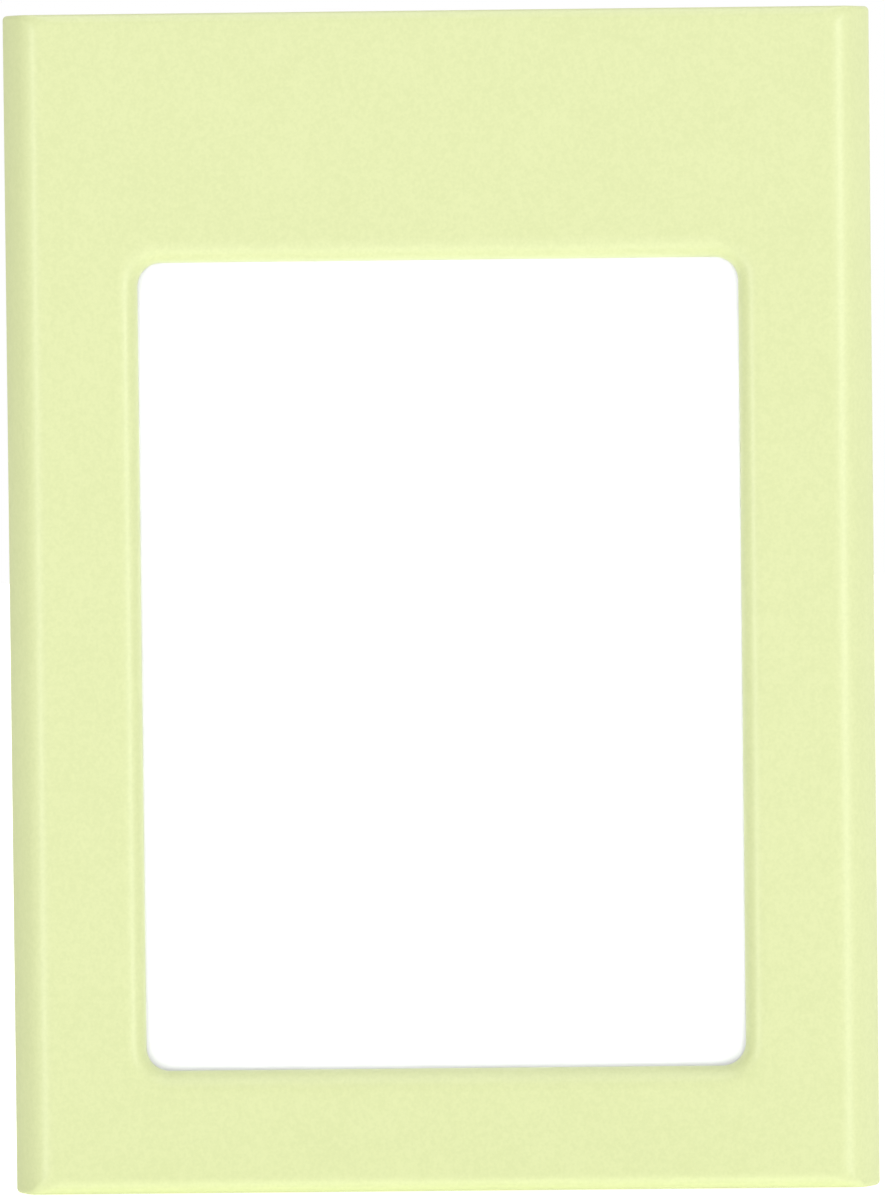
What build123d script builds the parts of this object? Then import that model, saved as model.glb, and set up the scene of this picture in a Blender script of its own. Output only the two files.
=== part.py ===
from build123d import *
from math import radians, sin
import os

# Magnetic photo frame for one slide-in instant print. Millimetres, X to the right, Y to the back, Z up.
# The origin is the centre of the back, where the magnets meet the steel. The front faces -Y.

# The print, and the picture area that the window leaves free on it.
print_width = 54.0
print_height = 86.0
picture_width = 46.0
picture_height = 62.0
picture_foot = 7.18
card_thickness = 0.45
card_corner = 1.0
card_side_play = 0.3
card_face_play = 0.175

# Outer form of the front frame: margins round the print, pillow flanks left and right, rounded ends.
side_margin = 6.2
end_margin = 2.25
fold_radius = 2.5
fold_turn = 50.0
flank_radius = 8.0
flank_turn = 18.0
shoulder_radius = 0.8
foot_end_radius = 1.4
slot_end_radius = 0.8
end_edge_radius = 0.35

# Window lip, and the pane stuck behind it.
window_corner = 1.8
lip_width = 1.75
lip_height = 1.5
lip_overcut = 0.1
lip_land = 0.1
pane_thickness = 0.5
pane_overlap = 2.0
pane_corner = 1.0
pane_clearance = 0.15
tape_thickness = 0.1
tape_setback = 0.4

# Rear opening of the frame, its side rails and the mouth of the print slot.
side_wall = 2.2
end_wall = 2.0
groove_wall = 0.9
groove_depth = 1.2
groove_end = 5.0
slot_lead = 0.4

# Magnets and the glue under them.
magnet_diameter = 10.0
magnet_thickness = 1.5
magnet_chamfer = 0.2
magnet_clearance = 0.05
magnet_recess = 0.1
magnet_side_inset = 9.0
magnet_end_inset = 10.0
glue_thickness = 0.1
glue_setback = 0.5

# Back cover: magnet cups, cored inside, thumb notch, snap tabs along both sides.
pocket_floor = 0.5
cup_wall = 0.8
cover_clearance = 0.15
cover_corner = 1.0
cover_chamfer = 0.25
core_floor = 1.1
core_corner = 2.0
core_rim = 2.5
rib_width = 1.6
notch_radius = 9.0
snap_count = 3
snap_pitch = 28.0
snap_length = 8.0
snap_base = 0.7
snap_rise = 0.9
snap_hold = 0.4
snap_clearance = 0.1

# Overall size.
frame_width = print_width + 2 * side_margin
frame_height = print_height + 2 * end_margin
half_width = frame_width / 2
half_height = frame_height / 2

# Layers, as heights above the back plane.
cover_thickness = magnet_recess + magnet_thickness + glue_thickness + pocket_floor
card_back = cover_thickness + card_face_play
rail_top = cover_thickness
wall_back = card_back + card_thickness + card_face_play
pane_front = wall_back + pane_thickness
lip_back = pane_front + tape_thickness
lip_foot = lip_back + lip_land
frame_depth = lip_foot + lip_height

# Places that more than one piece shares.
print_foot = -half_height + end_margin
window_z = print_foot + picture_foot + picture_height / 2
channel_width = print_width + 2 * card_side_play
opening_width = frame_width - 2 * side_wall
opening_height = frame_height - 2 * end_wall
cover_width = opening_width - 2 * cover_clearance
cover_height = opening_height - 2 * cover_clearance
tongue_width = channel_width - 2 * cover_clearance
pane_width = picture_width + 2 * pane_overlap
pane_height = picture_height + 2 * pane_overlap
magnet_x = cover_width / 2 - magnet_side_inset
magnet_z = half_height - magnet_end_inset
snap_places = [snap_pitch * (index - (snap_count - 1) / 2) for index in range(snap_count)]
corners = {
    "upper_left": (-magnet_x, magnet_z),
    "upper_right": (magnet_x, magnet_z),
    "lower_left": (-magnet_x, -magnet_z),
    "lower_right": (magnet_x, -magnet_z),
}


def layer(outline, low, high):
    """A front-view outline made solid between two heights above the back plane."""
    return extrude(Plane.XZ.offset(low) * outline, amount=high - low)


def rounded(width, height, corner, z=0.0, x=0.0):
    """A rounded rectangle in the front view."""
    return Pos(x, z) * RectangleRounded(width, height, corner)


def upright(width, low_z, high_z):
    """A plain rectangle on the centre line in the front view, from one height to another."""
    return Pos(0, (low_z + high_z) / 2) * Rectangle(width, high_z - low_z)


def disc(radius, place):
    """A round in the front view."""
    return Pos(*place) * Circle(radius)


def flank():
    """One side of the plan section: fold, crowned flank and shoulder as tangent arcs, then the rear land."""
    steep = radians(fold_turn + flank_turn)
    fold_run = fold_radius * sin(radians(fold_turn))
    flank_run = flank_radius * (sin(steep) - sin(radians(fold_turn)))
    shoulder_run = shoulder_radius * (1 - sin(steep))
    start = (half_width - fold_run - flank_run - shoulder_run, -frame_depth)
    fold = JernArc(start, (1, 0), fold_radius, fold_turn)
    crown = JernArc(fold @ 1, fold % 1, flank_radius, flank_turn)
    shoulder = JernArc(crown @ 1, crown % 1, shoulder_radius, 90 - fold_turn - flank_turn)
    return [fold, crown, shoulder, Line(shoulder @ 1, (half_width, 0))]


def outer_form():
    """The plan section with its pillow flanks, met by the side section with its rounded ends."""
    right = flank()
    left = [mirror(line, about=Plane.YZ) for line in right]
    front = Line(left[0] @ 0, right[0] @ 0)
    back = Line((-half_width, 0), (half_width, 0))
    plan = make_face([*right, *left, front, back])
    flanks = extrude(Plane.XY.offset(-half_height) * plan, amount=frame_height)
    by_height = flanks.edges().group_by(Axis.Z)
    rims = [e for e in by_height[0] + by_height[-1] if e.bounding_box().min.Y < 0]
    flanks = fillet(rims, end_edge_radius)
    ends = FilletPolyline(
        (0, -half_height),
        (-frame_depth, -half_height),
        (-frame_depth, half_height),
        (0, half_height),
        radius=[foot_end_radius, slot_end_radius],
    )
    side = make_face([*ends.edges(), Line(ends @ 1, ends @ 0)])
    return flanks & extrude(Plane.YZ * side, amount=half_width, both=True)


def lip_round():
    """What the lip's elliptical round takes off the window's edge: its section carried round the window."""
    curve = EllipticalCenterArc((lip_width, 0), lip_width, lip_height, start_angle=90, arc_size=90)
    waste = Polyline(
        (0, 0),
        (-lip_overcut, 0),
        (-lip_overcut, lip_height + lip_overcut),
        (lip_width, lip_height + lip_overcut),
        (lip_width, lip_height),
    )
    section = make_face([curve, *waste.edges()])
    edge_middle = (picture_width / 2, -lip_foot, window_z)
    across = Plane(origin=edge_middle, x_dir=(1, 0, 0), z_dir=(0, 0, -1))
    window = Plane.XZ.offset(lip_foot) * rounded(picture_width, picture_height, window_corner, window_z)
    return sweep(across * section, path=window.face().outer_wire())


def front_frame():
    """Moulded shell, open at the back and at the top between its two corner posts."""
    frame = outer_form()
    opening = rounded(opening_width, opening_height, cover_corner + cover_clearance)
    frame -= layer(opening, 0, rail_top)
    frame -= layer(upright(channel_width, print_foot, half_height), 0, wall_back)
    seat_corner = pane_corner + pane_clearance
    seat_width = pane_width + 2 * pane_clearance
    seat_height = pane_height + 2 * pane_clearance
    frame -= layer(rounded(seat_width, seat_height, seat_corner, window_z), wall_back, lip_back)
    window = rounded(picture_width, picture_height, window_corner, window_z)
    frame -= layer(window, lip_back, frame_depth)
    frame -= lip_round()
    mouth = [
        e
        for e in frame.edges().filter_by(Axis.X).group_by(Axis.Z)[-1]
        if abs(e.center().Y + wall_back) < 1e-6
    ]
    frame = chamfer(mouth, slot_lead)
    groove_width = (opening_width - channel_width) / 2 - 2 * groove_wall
    groove_x = (opening_width + channel_width) / 4
    groove_height = opening_height - 2 * groove_end
    for x in (-groove_x, groove_x):
        groove = Pos(x, 0) * SlotOverall(groove_height, groove_width, rotation=90)
        frame -= layer(groove, rail_top, rail_top + groove_depth)
    slot_depth = cover_clearance + snap_hold + snap_clearance
    slot_x = opening_width / 2 + slot_depth / 2
    low = snap_base - snap_clearance
    high = snap_base + snap_rise + snap_clearance
    for z in snap_places:
        for x in (-slot_x, slot_x):
            slot = Pos(x, z) * Rectangle(slot_depth, snap_length + 2 * snap_clearance)
            frame -= layer(slot, low, high)
    return frame


def window_pane():
    """Clear sheet behind the lip, flush with the inside of the front wall."""
    return layer(rounded(pane_width, pane_height, pane_corner, window_z), wall_back, pane_front)


def pane_tape():
    """Ring of double-sided film between pane and lip."""
    inner_width = picture_width + 2 * tape_setback
    inner_height = picture_height + 2 * tape_setback
    ring = rounded(pane_width, pane_height, pane_corner, window_z)
    ring -= rounded(inner_width, inner_height, window_corner + tape_setback, window_z)
    return layer(ring, pane_front, lip_back)


def insert_card():
    """Blank card the size of the print, standing on the bottom wall of the channel."""
    z = print_foot + print_height / 2
    return layer(rounded(print_width, print_height, card_corner, z), card_back, card_back + card_thickness)


def snap_tab(z, side):
    """Wedge on the cover's edge: flat towards the back, ramped towards the front for pushing in."""
    edge = cover_width / 2
    reach = cover_clearance + snap_hold
    points = [(edge, -snap_base), (edge + reach, -snap_base), (edge, -snap_base - snap_rise)]
    wedge = make_face(Polyline(*[(side * x, y) for x, y in points], close=True))
    return extrude(Pos(0, 0, z) * wedge, amount=snap_length / 2, both=True)


def core_pockets():
    """Three shallow pockets that keep the cover's wall even, with ribs along the way the print slides."""
    cup_radius = magnet_diameter / 2 + magnet_clearance + cup_wall
    rib_x = magnet_x - cup_radius
    middle_width = 2 * rib_x - rib_width
    middle_low = -cover_height / 2 + core_rim
    middle_high = half_height - notch_radius - core_rim
    middle_z = (middle_low + middle_high) / 2
    pockets = rounded(middle_width, middle_high - middle_low, core_corner, middle_z)
    side_low_x = rib_x + rib_width / 2
    side_high_x = channel_width / 2 - rib_width
    side_x = (side_low_x + side_high_x) / 2
    side_height = 2 * (magnet_z - cup_radius - rib_width)
    for x in (-side_x, side_x):
        pockets += rounded(side_high_x - side_low_x, side_height, core_corner, 0, x)
    return layer(pockets, core_floor, cover_thickness)


def back_cover():
    """Plate that snaps into the rear opening, with a tongue that closes the back of the print slot."""
    plate = rounded(cover_width, cover_height, cover_corner)
    plate += upright(tongue_width, 0, half_height)
    plate -= disc(notch_radius, (0, half_height))
    cover = layer(plate, 0, cover_thickness)
    back = cover.faces().filter_by(Axis.Y).sort_by(Axis.Y)[-1]
    cover = chamfer(back.edges(), cover_chamfer)
    inside = cover.faces().filter_by(Axis.Y).sort_by(Axis.Y)[0]
    mouth = [
        e
        for e in inside.edges().filter_by(Axis.Z, reverse=True)
        if e.bounding_box().max.Z > half_height - cover_chamfer
    ]
    cover = chamfer(mouth, slot_lead)
    cover -= core_pockets()
    pocket_depth = cover_thickness - pocket_floor
    for place in corners.values():
        cover -= layer(disc(magnet_diameter / 2 + magnet_clearance, place), 0, pocket_depth)
    for z in snap_places:
        for side in (-1, 1):
            cover += snap_tab(z, side)
    return cover


def magnet(place):
    """Nickel-plated disc with broken edges, set just under the back plane."""
    slug = layer(disc(magnet_diameter / 2, place), magnet_recess, magnet_recess + magnet_thickness)
    return chamfer(slug.edges().filter_by(GeomType.CIRCLE), magnet_chamfer)


def glue_disc(place):
    """Thin round of glue between magnet and pocket floor."""
    low = magnet_recess + magnet_thickness
    return layer(disc(magnet_diameter / 2 - glue_setback, place), low, low + glue_thickness)


pieces = {
    "front_frame": front_frame(),
    "window_pane": window_pane(),
    "pane_tape": pane_tape(),
    "insert_card": insert_card(),
    "back_cover": back_cover(),
}
for corner, place in corners.items():
    pieces["magnet_" + corner] = magnet(place)
    pieces["glue_disc_" + corner] = glue_disc(place)

os.makedirs("parts", exist_ok=True)
for name, piece in pieces.items():
    export_step(piece, os.path.join("parts", name + ".step"))
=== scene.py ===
import bmesh
import bpy
import numpy as np
from mathutils import Matrix, Vector


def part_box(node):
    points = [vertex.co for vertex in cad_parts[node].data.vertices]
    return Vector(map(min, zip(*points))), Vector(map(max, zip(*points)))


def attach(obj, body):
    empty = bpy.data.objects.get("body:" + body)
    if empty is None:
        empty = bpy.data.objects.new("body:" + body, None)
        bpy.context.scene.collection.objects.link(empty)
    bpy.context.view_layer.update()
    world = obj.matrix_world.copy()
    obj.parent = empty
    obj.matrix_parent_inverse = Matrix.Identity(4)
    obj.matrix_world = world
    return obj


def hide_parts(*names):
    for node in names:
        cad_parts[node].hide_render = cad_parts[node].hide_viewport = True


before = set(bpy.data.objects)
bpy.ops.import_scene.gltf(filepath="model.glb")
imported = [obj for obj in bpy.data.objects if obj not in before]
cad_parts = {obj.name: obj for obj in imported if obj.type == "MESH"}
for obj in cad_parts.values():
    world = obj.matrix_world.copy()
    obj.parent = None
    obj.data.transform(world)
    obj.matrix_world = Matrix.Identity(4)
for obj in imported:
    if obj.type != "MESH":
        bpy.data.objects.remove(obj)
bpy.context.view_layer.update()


# Front shell.
# One injection moulding in matt pastel-lime plastic: flanks rolled back left and right, ends rounded over,
# a rounded lip round the window, and behind it the pane seat, the print channel and the cover's opening.

shell_low, shell_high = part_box("front_frame")
half_width = 1000 * shell_high.x
half_height = 1000 * shell_high.z
depth = -1000 * shell_low.y
# Each arc of a flank: radius, angle at its start and end, steps.
flank_arcs = ((2.5, 0, 50, 25), (8.0, 50, 68, 7), (0.8, 68, 90, 9))
slot_end_radius = 0.8
foot_end_radius = 1.4
edge_radius = 0.35
face_corner = 1.0
back_edge = 0.2
pane_low, pane_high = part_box("window_pane")
pane_overlap = 2.0
pane_clearance = 0.15
film = 0.1
window_half_width = 1000 * pane_high.x - pane_overlap
window_half_height = 500 * (pane_high.z - pane_low.z) - pane_overlap
window_centre = 500 * (pane_high.z + pane_low.z)
window_corner = 1.8
lip_width = 1.75
lip_height = 1.5
cover_side_wall = 2.2
cover_end_wall = 2.0
cover_rim = 0.15
cover_depth = 2.2
inner_corner = 1.15
channel_foot_wall = 2.25
slot_half_width = 27.3
slot_front = 3.0
slot_lead = 0.4


def around(corner_steps, slot_steps):
    """Shares and angle of each point round a rounded rectangle, from the right side over the top.

    The shares say how far out a point's corner centre lies: two for the width, the first up to the slot's
    end and the second beyond it, and one for the height. The angle turns from 0 to 360 degrees. The points
    of the top side between the slot's ends are marked, and each end has one marked and one plain point.
    """
    turn = np.linspace(0, 90, corner_steps + 1)
    slot = np.linspace(1, -1, slot_steps + 1)
    one = np.ones_like(turn)
    inner = np.concatenate([one, [1], slot, [-1], -one, -one, one])
    outer = np.concatenate([one, [0], 0 * slot, [0], -one, -one, one])
    upright = np.concatenate([one, [1], 1 + 0 * slot, [1], one, -one, -one])
    angle = np.concatenate([turn, [90], 90 + 0 * slot, [90], 90 + turn, 180 + turn, 270 + turn])
    marked = np.concatenate([0 * turn, [0], 1 + 0 * slot, [0], np.tile(0 * turn, 3)]) > 0
    return inner, outer, upright, np.radians(angle), marked


def loops(width, height, corner, rise, middle=0.0):
    """Rows of half width, half height, corner radius, rise above the back and height of the middle, in
    millimetres. A single number holds for all rows."""
    return np.stack(np.broadcast_arrays(width, height, corner, rise, middle), axis=-1).reshape(-1, 5)


def hoops(rows, path):
    """The grid of points on stacked rounded rectangles, one for each row of loops."""
    inner, outer, upright, angle, _ = path
    width, height, corner, rise, middle = (column[:, None] for column in rows.T)
    slot_end = np.minimum(slot_half_width, width - corner)
    x = inner * slot_end + outer * (width - corner - slot_end) + corner * np.cos(angle)
    z = middle + upright * (height - corner) + corner * np.sin(angle)
    return np.stack([x, -rise + 0 * x, z], axis=-1)


def end_at(rise, radius):
    """How far an end reaches up or down at a rise: straight, then a quarter round up to the face."""
    over = np.maximum(rise - (depth - radius), 0)
    return half_height - radius + np.sqrt(np.maximum(radius**2 - over**2, 0))


def shell_grid(path):
    """The shell's skin as loops: up the lip, over the face, down flanks and ends, and back inside.

    The lip is a quarter ellipse. Each outer loop is level: its half width is read from the flank's section,
    three tangent arcs, and its top and bottom from the rounded ends, all at the same rise. Between the
    slot's ends the top wall stops at the slot's front.
    """
    bend = np.radians(np.linspace(0, 90, 25))
    lip_foot = depth - lip_height
    out = lip_width * (1 - np.cos(bend))
    lip = loops(
        window_half_width + out,
        window_half_height + out,
        window_corner + out,
        lip_foot + lip_height * np.sin(bend),
        window_centre,
    )
    run, drop = np.zeros(1), np.zeros(1)
    for radius, start, end, steps in flank_arcs:
        turn = np.radians(np.linspace(start, end, steps))
        run = np.append(run, run[-1] + radius * (np.sin(turn[1:]) - np.sin(turn[0])))
        drop = np.append(drop, drop[-1] + radius * (np.cos(turn[0]) - np.cos(turn[1:])))
    rise = depth - drop
    top, bottom = end_at(rise, slot_end_radius), -end_at(rise, foot_end_radius)
    corner = edge_radius + (face_corner - edge_radius) * np.maximum(1 - drop, 0)
    flanks = loops(half_width - run[-1] + run, (top - bottom) / 2, corner, rise, (top + bottom) / 2)
    face = lip[-1] + np.array([[0.02], [0.5], [0.98]]) * (flanks[0] - lip[-1])

    short_bend = bend[::4]
    tuck = back_edge * (1 - np.cos(short_bend))
    feet = loops(half_width - tuck, half_height - tuck, edge_radius, back_edge * (1 - np.sin(short_bend)))
    opening = half_width - cover_side_wall, half_height - cover_end_wall
    flare = cover_rim * (1 - np.sin(short_bend))
    rims = loops(opening[0] + flare, opening[1] + flare, inner_corner, cover_rim * (1 - np.cos(short_bend)))
    channel_foot = channel_foot_wall - half_height
    channel = slot_half_width, (opening[1] - channel_foot) / 2, 0.0
    channel_centre = (opening[1] + channel_foot) / 2
    inside = np.vstack(
        [
            loops(*opening, inner_corner, cover_depth),
            loops(*channel, cover_depth, channel_centre),
            loops(*channel, slot_front, channel_centre),
        ]
    )
    around_pane = pane_overlap + pane_clearance
    seat = window_half_width + around_pane, window_half_height + around_pane, inner_corner
    seats = np.vstack(
        [
            loops(*seat, slot_front, window_centre),
            loops(*seat, lip_foot - film, window_centre),
            loops(*lip[0, :3], lip_foot - film, window_centre),
        ]
    )

    grid = hoops(np.vstack([lip, face, flanks, feet, rims, inside, seats]), path)
    walls = len(lip) + len(face) + len(flanks)
    under = slice(walls, walls + len(feet))
    behind = slice(under.stop, under.stop + len(rims) + len(inside))
    marked = path[-1]
    mouth = marked | np.roll(marked, 1) | np.roll(marked, -1)
    grid[:walls, mouth, 1] = np.minimum(grid[:walls, mouth, 1], -slot_front - slot_lead)
    grid[under, marked, 1] = -slot_front - slot_lead
    grid[under, marked, 2] = half_height
    grid[behind, marked, 1] = -slot_front
    grid[behind, marked, 2] = half_height - slot_lead
    return grid


def skin(name, grid, closed):
    """Mesh of quads over a grid of points in millimetres. Every row is a loop; the last row either meets
    the first or the first and last are filled. Points that coincide are merged."""
    rows, columns = grid.shape[:2]
    index = np.arange(rows * columns).reshape(rows, columns)
    beside = np.roll(index, -1, axis=1)
    if closed:
        lower, upper = index, np.roll(index, -1, axis=0)
        lower_beside, upper_beside = beside, np.roll(beside, -1, axis=0)
    else:
        lower, upper = index[:-1], index[1:]
        lower_beside, upper_beside = beside[:-1], beside[1:]
    quads = np.stack([lower, lower_beside, upper_beside, upper], axis=-1).reshape(-1, 4).tolist()
    if not closed:
        quads += [index[0, ::-1].tolist(), index[-1].tolist()]
    mesh = bpy.data.meshes.new(name)
    mesh.from_pydata((0.001 * grid.reshape(-1, 3)).tolist(), [], quads)
    tidy = bmesh.new()
    tidy.from_mesh(mesh)
    bmesh.ops.remove_doubles(tidy, verts=tidy.verts, dist=1e-6)
    bmesh.ops.dissolve_degenerate(tidy, edges=tidy.edges, dist=1e-6)
    bmesh.ops.recalc_face_normals(tidy, faces=tidy.faces)
    tidy.to_mesh(mesh)
    tidy.free()
    mesh.shade_smooth()
    mesh.set_sharp_from_angle(angle=np.radians(35))
    piece = bpy.data.objects.new(name, mesh)
    bpy.context.scene.collection.objects.link(piece)
    return piece


class Wire:
    """One output among a material's nodes. Arithmetic on wires adds the Math nodes that work it out."""

    def __init__(self, tree, output=None):
        self.tree = tree
        self.output = output

    def node(self, kind, settings=None, sockets=None, output=0):
        """Adds a node: its settings first, then a number, colour or wire for each named socket."""
        made = self.tree.nodes.new("ShaderNode" + kind)
        for name, value in (settings or {}).items():
            setattr(made, name, value)
        for name, value in (sockets or {}).items():
            if isinstance(value, Wire):
                self.tree.links.new(value.output, made.inputs[name])
            else:
                made.inputs[name].default_value = value
        return Wire(self.tree, made.outputs[output] if made.outputs else None)

    def beside(self, output):
        """Another output of the same node."""
        return Wire(self.tree, self.output.node.outputs[output])

    def math(self, operation, *values):
        """A Math node on these values."""
        return self.node("Math", {"operation": operation}, dict(enumerate(values)))

    def __add__(self, other):
        return self.math("ADD", self, other)

    def __sub__(self, other):
        return self.math("SUBTRACT", self, other)

    def __rsub__(self, other):
        return self.math("SUBTRACT", other, self)

    def __mul__(self, other):
        return self.math("MULTIPLY", self, other)

    __radd__ = __add__
    __rmul__ = __mul__

    def above(self, limit):
        """How far this value lies above a limit, and 0 below it."""
        return self.math("MAXIMUM", self - limit, 0.0)

    def noise(self, size, detail=2.0, roughness=0.5):
        """Noise over this place, from 0 to 1, with lumps of about that size in millimetres."""
        values = {"Vector": self, "Scale": 1000 / size, "Detail": detail, "Roughness": roughness}
        return self.node("TexNoise", None, values)

    def mix(self, first, second):
        """From the first colour to the second as this wire goes from 0 to 1."""
        settings = {"data_type": "RGBA", "clamp_factor": True}
        return self.node("Mix", settings, {0: self, 6: (*first, 1.0), 7: (*second, 1.0)}, 2)


def new_finish(name):
    """An empty node material. Gives the material and a wire that carries the place on the piece."""
    material = bpy.data.materials.new(name)
    material.use_nodes = True
    material.node_tree.nodes.clear()
    place = Wire(material.node_tree).node("TexCoord", output="Object")
    return material, place


def dress(piece, material):
    """Gives a piece this material alone."""
    piece.data.materials.clear()
    piece.data.materials.append(material)


def lime_plastic(name, grain_height):
    """Moulded plastic with a spark-eroded grain in a colour that clouds; painted shade darkens its fine pits
    a little.
    """
    material, place = new_finish(name)
    grain = place.noise(0.22, 2.0)
    cloud = 0.75 * place.noise(0.45, 3.0) + 0.25 * place.noise(6.0, 2.0)
    # The colour clouds at random, and where the grain is low, in its pits, it is painted darker as shade.
    tone_and_pit_shade = 3.0 * (cloud - 0.5) + 2.5 * (grain - 0.5) + 0.5
    surface = place.node(
        "BsdfPrincipled",
        None,
        {
            "Base Color": tone_and_pit_shade.mix((0.612, 0.666, 0.339), (0.644, 0.694, 0.363)),
            "Roughness": 0.35 + 0.08 * (grain - 0.5),
            "IOR": 1.6,
            "Normal": place.node("Bump", None, {"Height": grain, "Strength": 1.0, "Distance": grain_height}),
        },
    )
    place.node("OutputMaterial", None, {"Surface": surface})
    return material


shell_path = around(corner_steps=14, slot_steps=8)
front_shell = skin("front_shell", shell_grid(shell_path), closed=True)
dress(front_shell, lime_plastic("lime_plastic", grain_height=0.000002))
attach(front_shell, "frame")
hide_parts("front_frame")


# Pane tape.
# A ring of thin double-sided film between the lip and the pane, hidden behind the lip's edge.
# Clear adhesive on a milky carrier, cut with a die and pressed on by hand.

tape_finish, place = new_finish("milky_film")
streak = place.noise(1.2, 4.0)
surface = place.node(
    "BsdfPrincipled",
    None,
    {
        "Base Color": streak.mix((0.78, 0.79, 0.76), (0.88, 0.88, 0.86)),
        "Roughness": 0.35 + 0.2 * streak,
    },
)
place.node("OutputMaterial", None, {"Surface": surface})
dress(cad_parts["pane_tape"], tape_finish)


# Window pane.
# A clear acrylic sheet, half a millimetre thick, cut to size and stuck behind the lip.
# Its gloss is a plain mirror of the room, a little dulled where it was wiped.

pane_finish, place = new_finish("clear_sheet")
wiped = place.noise(9.0, 4.0, 0.6)
gloss = place.node(
    "BsdfPrincipled",
    None,
    {"Base Color": (0.95, 0.97, 0.97, 1.0), "Roughness": 0.04 + 0.05 * wiped, "Metallic": 1.0},
)
clear = place.node("BsdfTransparent", None, {"Color": (0.996, 1.0, 1.0, 1.0)})
edge_on = place.node("LayerWeight", None, {"Blend": 0.5}, "Facing")
mirror = 0.04 + 0.96 * edge_on.math("POWER", edge_on, 5.0) + 0.004 * wiped
surface = place.node("MixShader", None, {0: mirror, 1: clear, 2: gloss})
place.node("OutputMaterial", None, {"Surface": surface})
dress(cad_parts["window_pane"], pane_finish)


# Insert card.
# A blank white card in the size of a small instant print, die-cut with round corners.
# Coated board: smooth and bright, with a trace of fibre and of the roller that pressed it.

card_low, card_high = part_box("insert_card")
card_corner = 1.0
card_edge = 0.12


def card_grid(path):
    """A flat plate as loops from back to front, its edges rounded over by a quarter circle on each side."""
    back, front = -1000 * card_high.y, -1000 * card_low.y
    bend = np.radians(np.linspace(0, 90, 6))
    lift = card_edge * (1 - np.cos(bend))
    tuck = card_edge * (1 - np.sin(bend))
    tuck = np.concatenate([tuck, tuck[::-1]])
    return hoops(
        loops(
            1000 * card_high.x - tuck,
            500 * (card_high.z - card_low.z) - tuck,
            card_corner - tuck,
            np.concatenate([back + lift, front - lift[::-1]]),
            500 * (card_high.z + card_low.z),
        ),
        path,
    )


card_path = around(corner_steps=10, slot_steps=2)
insert_card = skin("insert_card_blank", card_grid(card_path), closed=False)
card_finish, place = new_finish("white_card")
fibre = place.noise(0.35, 4.0, 0.65)
press = place.noise(14.0, 2.0)
surface = place.node(
    "BsdfPrincipled",
    None,
    {
        "Base Color": (0.5 * fibre + 0.5 * press).mix((0.9, 0.9, 0.89), (0.94, 0.94, 0.935)),
        "Roughness": 0.45 + 0.15 * fibre,
        "Normal": place.node("Bump", None, {"Height": fibre, "Strength": 1.0, "Distance": 0.000001}),
    },
)
place.node("OutputMaterial", None, {"Surface": surface})
dress(insert_card, card_finish)
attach(insert_card, "insert")
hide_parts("insert_card")


# Back cover.
# A thin moulding in the same plastic that snaps into the shell from behind, with a tongue that closes the
# slot, a thumb notch in its top edge, round cups for the magnets and cores that keep its wall even.

dress(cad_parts["back_cover"], lime_plastic("lime_plastic_cover", grain_height=0.000004))


# Glue discs.
# A drop of two-part glue under each magnet, pressed out to a thin round.
# It has cured to a honey colour, glossy where it could flow.

glue_finish, place = new_finish("cured_glue")
flow = place.noise(2.0, 3.0)
surface = place.node(
    "BsdfPrincipled",
    None,
    {
        "Base Color": flow.mix((0.72, 0.62, 0.42), (0.86, 0.79, 0.62)),
        "Roughness": 0.2 + 0.15 * flow,
    },
)
place.node("OutputMaterial", None, {"Surface": surface})
corners = ("upper_left", "upper_right", "lower_left", "lower_right")
for corner in corners:
    dress(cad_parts["glue_disc_" + corner], glue_finish)


# Magnets.
# Four sintered discs with tumbled edges and a bright nickel plate, set just under the back's plane.
# The plate is smooth with fine hairlines from sliding on steel, and a warm tint.

magnet_edge = 0.3


def magnet_grid(low, high):
    """A disc as loops: circles whose radius and rise follow the flat, the rounded edge and the wall."""
    radius = 500 * (high.x - low.x)
    bend = np.radians(np.linspace(0, 90, 9))
    tuck = magnet_edge * (1 - np.sin(bend))
    lift = magnet_edge * (1 - np.cos(bend))
    across = radius - np.concatenate([tuck, tuck[::-1]])[:, None]
    rise = np.concatenate([lift - 1000 * high.y, -1000 * low.y - lift[::-1]])[:, None]
    turn = np.linspace(0, 2 * np.pi, 97)[:-1]
    x = 500 * (low.x + high.x) + across * np.cos(turn)
    z = 500 * (low.z + high.z) + across * np.sin(turn)
    return np.stack([x, -rise + 0 * x, z], axis=-1)


nickel_finish, place = new_finish("nickel_plate")
drawn_out = place.node(
    "Mapping",
    None,
    {"Vector": place, "Rotation": (0.0, 0.4, 0.0), "Scale": (1.0, 1.0, 12.0)},
)
hairline = drawn_out.noise(0.4, 3.0, 0.7)
stain = place.noise(3.0, 3.0)
surface = place.node(
    "BsdfPrincipled",
    None,
    {
        "Base Color": stain.mix((0.70, 0.67, 0.62), (0.78, 0.76, 0.72)),
        "Metallic": 1.0,
        "Roughness": 0.16 + 0.14 * hairline,
        "Normal": place.node("Bump", None, {"Height": hairline, "Strength": 0.6, "Distance": 0.000002}),
    },
)
place.node("OutputMaterial", None, {"Surface": surface})
for corner in corners:
    disc = skin("magnet_disc_" + corner, magnet_grid(*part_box("magnet_" + corner)), closed=False)
    dress(disc, nickel_finish)
    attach(disc, "frame")
    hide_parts("magnet_" + corner)


# Table.
# A plain white table top that the frame stands on, bright enough to fade into the room behind it.
# It throws no shade, so that a lamp may also stand lower than the table.

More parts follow.
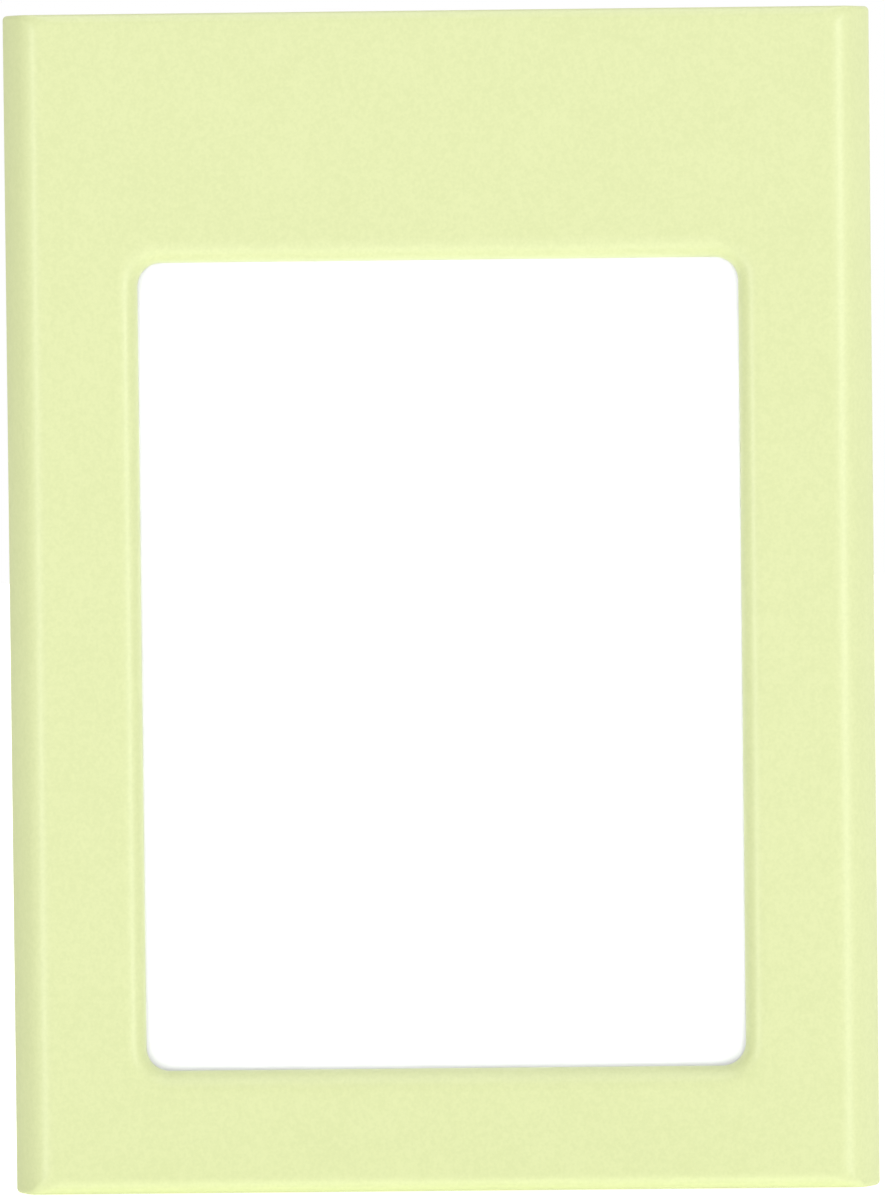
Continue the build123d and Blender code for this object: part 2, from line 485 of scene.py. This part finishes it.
table_reach = 1.5
table_level = shell_low.z - 0.00002
table_top = [(table_reach * x, table_reach * y, table_level) for x, y in ((-1, -1), (1, -1), (1, 1), (-1, 1))]
table_mesh = bpy.data.meshes.new("table")
table_mesh.from_pydata(table_top, [], [(0, 1, 2, 3)])
table = bpy.data.objects.new("table", table_mesh)
bpy.context.scene.collection.objects.link(table)
table_finish, place = new_finish("white_table")
surface = place.node(
    "BsdfPrincipled",
    None,
    {
        "Base Color": place.noise(40.0).mix((0.80, 0.80, 0.80), (0.82, 0.82, 0.82)),
        "Roughness": 0.7,
        "Emission Color": (1.0, 1.0, 1.0, 1.0),
        "Emission Strength": 0.65,
    },
)
place.node("OutputMaterial", None, {"Surface": surface})
dress(table, table_finish)
table.visible_shadow = False
table.visible_glossy = False


# Light.
# A white room, brighter above, behind and at the right, and four soft boxes that light all but the print.
# A small panel lights the print through the window, and the print throws no light back on the lip.

room_glow = 0.17
right_glow = 0.4
upper_glow = 0.43
back_wall_glow = 1.5
ceiling_glow = 9.0
ground_glow = 0.3
room = bpy.data.worlds.new("room")
room.use_nodes = True
room.node_tree.nodes.clear()
bpy.context.scene.world = room
air = Wire(room.node_tree)
seen = air.node("LightPath", output="Is Camera Ray")
rightward = air.node("SeparateXYZ", None, {0: air.node("TexCoord", output="Generated")})
backward, upward = rightward.beside(1), rightward.beside(2)
glow = room_glow + right_glow * rightward.above(0.0) + upper_glow * upward.above(0.0)
glow = glow + back_wall_glow * backward.above(0.6) + ceiling_glow * upward.above(0.8)
glow = glow + ground_glow * (0.0 - upward).above(0.5)
lit = air.node("Background", None, {"Color": (1.0, 1.0, 1.0, 1.0), "Strength": glow})
white = air.node("Background", None, {"Color": (1.0, 1.0, 1.0, 1.0), "Strength": 1.0})
air.node("OutputWorld", None, {"Surface": air.node("MixShader", None, {0: seen, 1: lit, 2: white})})

all_but_print = bpy.data.collections.new("all_but_print")
all_but_print.objects.link(insert_card)
all_but_print.collection_objects[0].light_linking.link_state = "EXCLUDE"
print_only = bpy.data.collections.new("print_only")
print_only.objects.link(insert_card)
insert_card.visible_diffuse = False


def way_out(bearing, rise):
    """The direction away from the frame, so many degrees round from the front to the right, and up."""
    bearing, rise = np.radians(bearing), np.radians(rise)
    return Vector((np.sin(bearing) * np.cos(rise), -np.cos(bearing) * np.cos(rise), np.sin(rise)))


def area_lamp(name, width, height, power):
    """A rectangular lamp, its sides in metres and its power in watts."""
    lamp = bpy.data.lights.new(name, "AREA")
    lamp.shape = "RECTANGLE"
    lamp.size = width
    lamp.size_y = height
    lamp.energy = power
    return lamp


def hang(lamp, aim, way, distance, receivers):
    """Puts a lamp at a distance from its aim, facing it, and says what it lights."""
    stand = bpy.data.objects.new(lamp.name, lamp)
    stand.location = aim + distance * way
    stand.rotation_euler = way.to_track_quat("Z", "Y").to_euler()
    stand.visible_camera = False
    stand.light_linking.receiver_collection = receivers
    bpy.context.scene.collection.objects.link(stand)


soft_box_distance = 0.6
soft_boxes = (
    ("left_box", way_out(-42, -2), 0.12, 0.4, 0.65),
    ("right_box", way_out(45, -3), 0.20, 0.4, 0.86),
    ("low_box", way_out(12, -53), 0.40, 0.2, 0.33),
    ("top_box", way_out(3, 47), 0.40, 0.2, 0.43),
)
for name, way, width, height, power in soft_boxes:
    hang(area_lamp(name, width, height, power), Vector(), way, soft_box_distance, all_but_print)

panel_margin = 0.007
panel_distance = 0.015
panel_width = 0.002 * window_half_width + 2 * panel_margin
panel_height = 0.002 * window_half_height + 2 * panel_margin
print_middle = Vector((0.0, card_low.y, 0.001 * window_centre))
panel = area_lamp("window_panel", panel_width, panel_height, 0.016)
panel.spread = np.radians(120)
hang(panel, print_middle, way_out(0, 0), panel_distance, print_only)


# Camera.
# A long lens at the height of the window, a trace to the right of the middle and above it.
# It is rolled by 0.6 degrees, because the frame leans in the picture.

camera_way = way_out(1.2, 1.9)
camera_distance = 0.8
pixels_per_metre = 13054
picture_height = 1200
roll = np.radians(-0.635)
target = Vector((0.000112, -0.0040, 0.000145))
level = Vector((0.0, 0.0, 1.0)).cross(camera_way).normalized()
across = np.cos(roll) * level + np.sin(roll) * camera_way.cross(level)
turned = Matrix((across, camera_way.cross(across), camera_way)).transposed().to_4x4()
lens = bpy.data.cameras.new("camera")
lens.sensor_width = 36.0
lens.lens = lens.sensor_width * camera_distance * pixels_per_metre / picture_height
camera = bpy.data.objects.new("camera", lens)
camera.matrix_world = Matrix.Translation(target + camera_distance * camera_way) @ turned
bpy.context.scene.collection.objects.link(camera)
bpy.context.scene.camera = camera
bpy.context.scene.view_settings.view_transform = "Standard"
